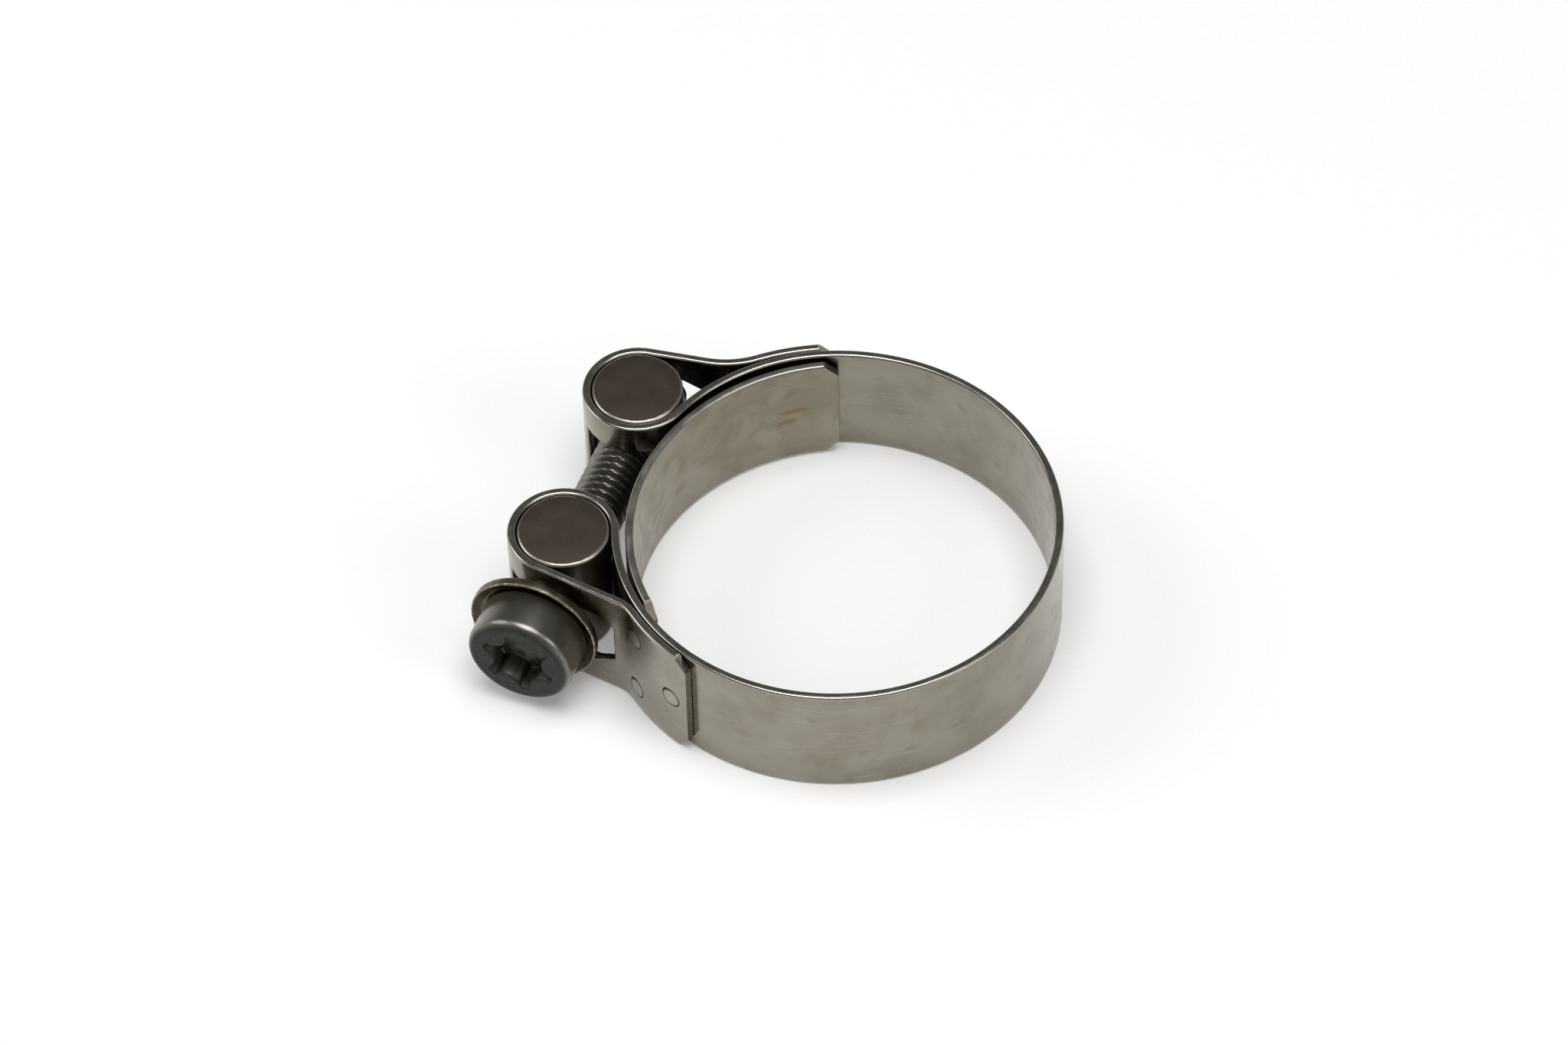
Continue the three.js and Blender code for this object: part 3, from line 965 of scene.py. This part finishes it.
class Riveter:
    """Sets copies of one rivet with Geometry Nodes."""

    def __init__(self, radius: float, lean_deg: float) -> None:
        """Builds the node tree once.

        Args:
            radius: The rivet's radius.
            lean_deg: How far each rivet leans along the strip in its hole.
        """
        self.radius, self.lean_deg = radius, lean_deg
        sockets = {"Places": "Geometry", "Rivet": "Object"}
        nodes, given, out = new_group("set rivets", "Geometry", sockets, ("Rivets", "Geometry"))
        rivet = nodes.fill(nodes.add("GeometryNodeObjectInfo"), {"Object": given["Rivet"]})
        turn = nodes.add("GeometryNodeInputNamedAttribute", data_type="FLOAT_VECTOR")
        turn.inputs["Name"].default_value = "turn"
        spread = nodes.add("GeometryNodeInstanceOnPoints")
        nodes.fill(spread, {"Points": given["Places"], "Instance": rivet.outputs["Geometry"],
                            "Rotation": turn.outputs[0]})
        real = nodes.add("GeometryNodeRealizeInstances")
        nodes.put(real.inputs[0], spread.outputs[0])
        nodes.put(out, real.outputs[0])
        self.tree = nodes.tree

    def _rivet(self, length: float) -> Piece:
        """One rivet along Z, with rounded ends and its flat coordinates."""
        half, corner = length / 2, 0.09
        rings = [(0, -half), *rounding(self.radius - corner, corner - half, corner, -90, 4),
                 *rounding(self.radius - corner, half - corner, corner, 0, 4), (0, half)]
        angles = np.linspace(0, math.tau, 40, endpoint=False)
        rivet = turned("rivet", rings, angles, Matrix.Identity(4))
        flat = rivet.data.attributes.new("flat", "FLOAT_VECTOR", "POINT")
        flat.data.foreach_set("vector", np.array([v.co for v in rivet.data.vertices]).ravel())
        return rivet

    def set(self, name: str, places: Sequence[tuple[Point, float]], length: float,
            metal: Metal) -> Piece:
        """Sets a rivet at each place.

        Args:
            name: The piece's name.
            places: Each rivet's middle and the angle it points at.
            length: The rivet's length.
            metal: Its material.

        Returns:
            All the rivets as one piece.
        """
        mesh = bpy.data.meshes.new(name)
        mesh.from_pydata([spot for spot, _ in places], [], [])
        turns = mesh.attributes.new("turn", "FLOAT_VECTOR", "POINT")
        lean = math.radians(self.lean_deg)
        angles = [(0, math.pi / 2, math.radians(a) + lean) for _, a in places]
        turns.data.foreach_set("vector", np.array(angles).ravel())
        holder = link(name, mesh)
        rivet = self._rivet(length)
        drive(holder, self.tree, {"Rivet": rivet})
        return dressed(baked(name, holder, rivet), metal)


@dataclass
class Bridge:
    """The strip inside the ring that closes the gap under the bolt."""

    width: float = 17.4
    centre: Flat = (1.96, -0.44)
    radius: float = 28.98
    rear_deg: float = 113.6
    front_deg: float = 229.0
    corner: float = 2.0

    def build(self, roller: StripRoller, metal: Metal) -> Piece:
        """Builds the bridge."""
        path = StripPath()
        path.arc(self.centre, self.radius, self.rear_deg, self.front_deg, 1.6)
        blank = Blank(path, self.width, start_corner=self.corner, end_corner=self.corner)
        return roller.roll("bridge_strip", blank.build(), path.curve("path", Side.FRONT), metal)


# Turned pieces ---


@dataclass
class Barrel:
    """A round bar across the strip, drilled for the bolt."""

    side: Side
    y: float
    bore_radius: float
    bore_x: float = -33.4
    x: float = -33.2
    radius: float = 6.15
    corner: float = 0.45
    height: float = 18.0

    @property
    def centre(self) -> Point:
        """The middle of the barrel."""
        return (self.x, self.y, self.height / 2)

    def build(self, metal: Metal) -> Piece:
        """Builds the barrel."""
        half, inner = self.height / 2, self.radius - self.corner
        rings = [(0, -half), (inner * 0.5, -half),
                 *rounding(inner, self.corner - half, self.corner, -90),
                 *rounding(inner, half - self.corner, self.corner, 0),
                 (inner * 0.5, half), (0, half)]
        angles = np.linspace(0, math.tau, 128, endpoint=False)
        body = turned("barrel", rings, angles, turned_matrix(self.centre, Axis.HOSE))
        place = turned_matrix((self.bore_x, self.y, self.height / 2), Axis.BOLT)
        drill = rod("drill", self.bore_radius, 4 * self.radius, place, 96)
        return dressed(carve(f"{self.side.name.lower()}_barrel_body", body, drill), metal)


@dataclass
class Bolt:
    """The bolt: a six-lobe socket head and a right-hand thread."""

    SUNK: ClassVar[float] = 0.6
    FACETS: ClassVar[int] = 72
    ROWS_PER_TURN: ClassVar[int] = 16
    x: float = -33.4
    z: float = 9.0
    face_y: float = -30.4
    under_y: float = -24.05
    tip_y: float = 21.2
    head_radius: float = 7.3
    head_corner: float = 1.3
    thread_radius: float = 4.0
    root_radius: float = 3.233
    pitch: float = 1.25
    tip_chamfer: float = 0.8
    socket_radius: float = 4.95
    ridge_radius: float = 2.2
    ridge_pitch: float = 5.65
    socket_depth: float = 3.8
    socket_turn_deg: float = 39.8

    def _socket(self, angles: np.ndarray, grow: float) -> np.ndarray:
        """The socket's radius at each angle, widened by grow."""
        sector = math.pi / 3
        lobe = (angles + math.radians(self.socket_turn_deg) + sector / 2) % sector
        off = sector / 2 - np.abs(lobe - sector / 2)
        ridge, reach = self.ridge_radius - grow, self.ridge_pitch
        under = ridge ** 2 - (reach * np.sin(off)) ** 2
        wall = reach * np.cos(off) - np.sqrt(np.maximum(under, 0))
        return np.minimum(self.socket_radius + grow, np.where(under > 0, wall, np.inf))

    def _columns(self) -> np.ndarray:
        """Column angles, closest at the corners of the lobes."""
        out, ridge, reach = self.socket_radius, self.ridge_radius, self.ridge_pitch
        tip = math.degrees(math.acos((out ** 2 + reach ** 2 - ridge ** 2) / (2 * out * reach)))
        sector = np.concatenate([np.linspace(-tip, tip, 17), np.linspace(tip, 60 - tip, 7)[1:-1]])
        start = 30 - self.socket_turn_deg
        degrees = np.concatenate([start + sector + 60 * i for i in range(6)]) % 360
        return np.radians(np.sort(degrees))

    def head(self, metal: Metal) -> Piece:
        """Builds the head. Its local Z runs from the face into the clamp."""
        angles = self._columns()
        depth, tall = self.socket_depth, self.under_y - self.face_y
        mouth, wall = self._socket(angles, 0.18), self._socket(angles, 0.0)
        inner = self.head_radius - self.head_corner
        rings: list[tuple[Any, float]] = [
            (0, depth + 0.9), (1.5, depth + 0.2), (wall * 0.97, depth), (wall, depth - 0.15),
            (wall, 0.22), ((mouth + wall) / 2, 0.06), (mouth, 0.0),
            (0.5 * mouth + 0.5 * inner, 0.0), (inner - 0.1, 0.0),
            *rounding(inner, self.head_corner, self.head_corner, -90, 8),
            (self.head_radius, tall * 0.5),
            *rounding(self.head_radius - 0.3, tall - 0.3, 0.3, 0, 4), (3.0, tall), (0, tall)]
        place = turned_matrix((self.x, self.face_y, self.z), Axis.BOLT)
        return dressed(turned("bolt_head", rings, angles, place), metal, 32.0)

    def thread(self, metal: Metal) -> Piece:
        """Builds the shank with its thread, by a rule in Geometry Nodes."""
        sizes = {"Length": self.tip_y - self.under_y + self.SUNK, "Pitch": self.pitch,
                 "Crest Radius": self.thread_radius, "Root Radius": self.root_radius,
                 "Tip Chamfer": self.tip_chamfer}
        sockets = {"Geometry": "Geometry", **dict.fromkeys(sizes, "Float"), "Place": "Vector"}
        nodes, given, out = new_group("cut thread", "Geometry", sockets, ("Thread", "Geometry"))
        rows = int(sizes["Length"] / self.pitch * self.ROWS_PER_TURN) + 6
        grid = nodes.fill(nodes.add("GeometryNodeMeshGrid"), {
            "Size X": 1.0, "Size Y": 1.0, "Vertices X": self.FACETS + 1, "Vertices Y": rows})
        across, up, _ = nodes.split(nodes.add("GeometryNodeInputPosition").outputs[0])
        turn = nodes.plus(across, 0.5)
        reach = nodes.times(nodes.plus(up, 0.5), nodes.plus(given["Length"], 0.4))
        y = nodes.math("MINIMUM", reach, given["Length"])
        turns = nodes.minus(nodes.math("DIVIDE", y, given["Pitch"]), turn)
        wave = nodes.minus(nodes.times(nodes.math("FRACT", turns), 2.0), 1.0)
        wave = nodes.math("ABSOLUTE", wave)
        flank = nodes.math("DIVIDE", nodes.minus(wave, 0.25), 0.625, clamp=True)
        depth = nodes.minus(given["Crest Radius"], given["Root Radius"])
        cut = nodes.plus(given["Root Radius"], nodes.times(depth, flank))
        left = nodes.minus(given["Length"], y)
        cone = nodes.plus(left, nodes.minus(given["Crest Radius"], given["Tip Chamfer"]))
        radius = nodes.math("MINIMUM", cut, cone)
        past = nodes.math("GREATER_THAN", reach, given["Length"])
        start = nodes.math("LESS_THAN", reach, 0.02)
        closing = nodes.times(nodes.minus(reach, given["Length"]), 8.0)
        radius = nodes.minus(radius, nodes.times(past, closing))
        radius = nodes.math("MAXIMUM", radius, 0.0)
        radius = nodes.times(radius, nodes.minus(1.0, start))
        angle = nodes.times(turn, math.tau)
        where = nodes.add("ShaderNodeCombineXYZ")
        nodes.put(where.inputs[0], nodes.times(radius, nodes.math("SINE", angle)))
        nodes.put(where.inputs[1], y)
        nodes.put(where.inputs[2], nodes.times(radius, nodes.math("COSINE", angle)))
        move = nodes.add("GeometryNodeSetPosition")
        nodes.fill(move, {"Geometry": grid.outputs["Mesh"],
                          "Position": nodes.vector("ADD", where.outputs[0], given["Place"])})
        weld = nodes.fill(nodes.add("GeometryNodeMergeByDistance"),
                          {"Geometry": move.outputs[0], "Distance": 0.0005})
        nodes.put(out, weld.outputs[0])

        holder = link("thread", bpy.data.meshes.new("thread"))
        place = (self.x, self.under_y - self.SUNK, self.z)
        drive(holder, nodes.tree, {**sizes, "Place": place})
        piece = baked("bolt_thread", holder)
        face_outward(piece.data)
        return dressed(piece, metal, 28.0)


@dataclass
class Washer:
    """A thick dished washer: flat behind, its rim raised towards the bolt's head."""

    COLUMNS: ClassVar[int] = 160
    x: float = -33.55
    z: float = 9.1
    back_y: float = -22.95
    front_y: float = -23.75
    rim_y: float = -24.6
    radius: float = 8.87
    bore_radius: float = 4.3
    dish_radius: float = 7.65
    nick_depth: float = 0.05

    def build(self, metal: Metal) -> Piece:
        """Builds the washer. Its local Z runs along the bolt from the middle of its bore."""
        count = self.COLUMNS
        angles = np.linspace(0, math.tau, count, endpoint=False)
        rough = np.random.default_rng(7).random(count) ** 6
        nicks = np.convolve(np.tile(rough, 3), [0.5, 1, 0.5], "same")[count:2 * count]
        rim = self.radius - self.nick_depth * nicks
        back, front = self.back_y - self.front_y, 0.0
        top = self.rim_y - self.front_y
        bore = np.full(count, self.bore_radius)
        rings: list[tuple[Any, float]] = [
            (bore, back - 0.12), (self.bore_radius + 0.12, back), (self.radius - 1.2, back),
            (self.radius - 0.55, back), (self.radius - 0.45, back - 0.03),
            (rim - 0.05, back - 0.45), (rim, back - 0.55), (rim, top + 0.2),
            (rim - 0.05, top + 0.06), (rim - 0.17, top), (rim - 0.3, top + 0.09),
            (self.dish_radius + 0.1, front - 0.08),
            (self.dish_radius - 0.2, front), (self.bore_radius + 0.12, front),
            (self.bore_radius, front + 0.12), (bore, back - 0.12)]
        piece = turned("washer_ring", rings[:-1] + [rings[0]], angles,
                       turned_matrix((self.x, self.front_y, self.z), Axis.BOLT))
        with editing(piece.data) as built:
            bmesh.ops.remove_doubles(built, verts=built.verts, dist=1e-4)
        return dressed(piece, metal, 50.0)


# Studio ---


@dataclass
class Studio:
    """A white floor, soft lights and the camera."""

    azimuth_deg: float = 22.1
    elevation_deg: float = 50.12817
    roll_deg: float = 1.39999
    aside: float = 0.00716496
    above: float = -0.01128774
    distance: float = 0.92167758
    lens: float = 158.203125

    def camera(self) -> None:
        """Makes the camera and gives it to the scene."""
        lift, roll = math.radians(self.elevation_deg), math.radians(self.roll_deg)
        right = Vector((1, 0, 0))
        up = Vector((0, math.sin(lift), math.cos(lift)))
        back = Vector((0, -math.cos(lift), math.sin(lift)))
        side = math.cos(roll) * right - math.sin(roll) * up
        top = math.sin(roll) * right + math.cos(roll) * up
        place = -self.aside * side - self.above * top + self.distance * back
        data = bpy.data.cameras.new("camera")
        data.lens, data.sensor_width, data.clip_start, data.clip_end = self.lens, 36.0, 0.01, 20.0
        camera = link("camera", data)
        turn = Matrix((side, top, back)).transposed().to_4x4()
        spin = Matrix.Rotation(math.radians(self.azimuth_deg), 4, "Z")
        camera.matrix_world = spin @ Matrix.Translation(place) @ turn
        bpy.context.scene.camera = camera

    def floor(self) -> None:
        """Lays the white floor."""
        mesh = bpy.data.meshes.new("floor")
        reach, low = 3.0, -0.0001
        mesh.from_pydata([(-reach, -reach, low), (reach, -reach, low), (reach, reach, low),
                          (-reach, reach, low)], [], [(0, 1, 2, 3)])
        paper = bpy.data.materials.new("white paper")
        paper.use_nodes = True
        tree = Tree(paper.node_tree)
        shader = paper.node_tree.nodes["Principled BSDF"]
        place = tree.add("ShaderNodeTexCoord").outputs["Object"]
        speck = tree.noise(place, 900.0, 3.0)
        tone = tree.blend(speck, (0.90, 0.90, 0.895, 1), (0.93, 0.93, 0.925, 1))
        tree.fill(shader, {"Base Color": tone, "Roughness": 0.9, "Specular IOR Level": 0.1,
                           "Emission Color": tone, "Emission Strength": 0.15})
        mesh.materials.append(paper)
        link("floor", mesh)

    def light(self, name: str, azimuth: float, elevation: float, distance: float, size: float,
              watts: float) -> None:
        """Hangs a soft square light that faces the clamp.

        Args:
            name: The light's name.
            azimuth: Its compass angle about Z, from +X.
            elevation: Its angle above the floor.
            distance: Metres from the clamp.
            size: Metres along each side.
            watts: Its power.
        """
        data = bpy.data.lights.new(name, "AREA")
        data.size, data.energy, data.shape = size, watts, "SQUARE"
        lamp = link(name, data)
        a, e = math.radians(azimuth), math.radians(elevation)
        where = Vector((math.cos(a) * math.cos(e), math.sin(a) * math.cos(e), math.sin(e)))
        lamp.location = where * distance
        lamp.rotation_mode = "QUATERNION"
        lamp.rotation_quaternion = where.to_track_quat("Z", "Y")

    def sky(self) -> None:
        """Makes the room: bright low down, dimmer overhead."""
        world = bpy.data.worlds.new("room")
        world.use_nodes = True
        bpy.context.scene.world = world
        tree = Tree(world.node_tree)
        back = world.node_tree.nodes["Background"]
        _, _, height = tree.split(tree.add("ShaderNodeTexCoord").outputs["Generated"])
        above = tree.ramp(height, 0.04, 0.42)
        shade = tree.blend(above, (0.62, 0.615, 0.605, 1), (0.13, 0.126, 0.12, 1))
        tree.fill(back, {"Color": shade, "Strength": 1.0})

    def build(self) -> None:
        """Sets up the whole studio."""
        self.camera()
        self.floor()
        self.sky()
        self.light("overhead", -60.0, 84.0, 1.1, 0.75, 8.5)
        self.light("left", 190.0, 38.0, 1.0, 0.5, 2.1)
        self.light("right", -10.0, 35.0, 1.0, 0.45, 1.5)
        bpy.context.scene.view_settings.view_transform = "Standard"


# Assembly ---


def ride(piece: Piece, body: Body, slot: str, *nodes: str) -> None:
    """Fixes a piece to its body, in place of CAD nodes, and reports it."""
    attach(piece, body.value)
    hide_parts(*nodes)
    log.info("%s: %d faces, on %s", piece.name, len(piece.data.polygons), body.value)


def bend(piece: Piece, side: Side, *nodes: str) -> None:
    """Bakes half of the band into place and hides the CAD nodes it stands for."""
    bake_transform(piece)
    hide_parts(*nodes)


def main() -> None:
    """Builds the clamp and its studio."""
    logging.basicConfig(level=logging.INFO, format="%(message)s")
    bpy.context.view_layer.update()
    effects, roller, band, bolt, washer = Effects(), StripRoller(), Band(), Bolt(), Washer()
    riveter = Riveter(band.rivet_radius, band.rivet_lean_deg)

    strip = StripSteel("satin strip").material(effects)
    bridge_steel = StripSteel(
        "stained strip", tone=(0.230, 0.208, 0.158, 1), light_tone=(0.278, 0.255, 0.200, 1),
        stain=(0.215, 0.19, 0.138, 1), stain_low=0.48, stain_high=0.72, roughness=(0.26, 0.38),
        half_width=8.7, line_at=None,
        welds=(((7.1, -1.25, 0.0), (1.9, 0.7, 9.0)), ((6.4, 0.55, 0.0), (3.0, 0.85, 9.0)))
    ).material(effects)
    rivet_steel = RivetSteel("rivet end").material(effects)

    sides = {Side.FRONT: ("front_arm", "band_back"), Side.REAR: ("rear_arm",)}
    arms = {Side.FRONT: Body.FRONT_ARM, Side.REAR: Body.REAR_ARM}
    for side, nodes in sides.items():
        bend(band.half(side, roller, strip), side, *nodes)
        stood_for = [f"{side.name.lower()}_rivet_{place}" for place in ("upper", "lower", "end")]
        ride(band.rivets(side, riveter, rivet_steel), arms[side], "rivet", *stood_for)
    ride(Bridge().build(roller, bridge_steel), Body.REAR_ARM, "bridge", "bridge")

    barrels = {Body.FRONT_BARREL: Barrel(Side.FRONT, -14.0, 4.3),
               Body.REAR_BARREL: Barrel(Side.REAR, 12.4, 4.1)}
    for body, barrel in barrels.items():
        steel = BarrelSteel(f"{barrel.side.name.lower()} barrel", barrel.centre, barrel.radius)
        ride(barrel.build(steel.material(effects)), body, "barrel", body.value)

    middle = (bolt.x, (bolt.face_y + bolt.under_y) / 2, bolt.z)
    coating = BoltCoating("flake coating", middle, bolt.thread_radius,
                          (bolt.face_y - bolt.under_y) / 2)
    grey = coating.material(effects)
    ride(bolt.head(grey), Body.BOLT, "bolt", "bolt")
    ride(bolt.thread(grey), Body.BOLT, "bolt", "bolt")
    plating = WasherPlating("yellow plating", (washer.x, washer.front_y, washer.z), washer.radius)
    ride(washer.build(plating.material(effects)), Body.WASHER, "washer", "washer")

    Studio().build()


if __name__ == "__main__":
    main()
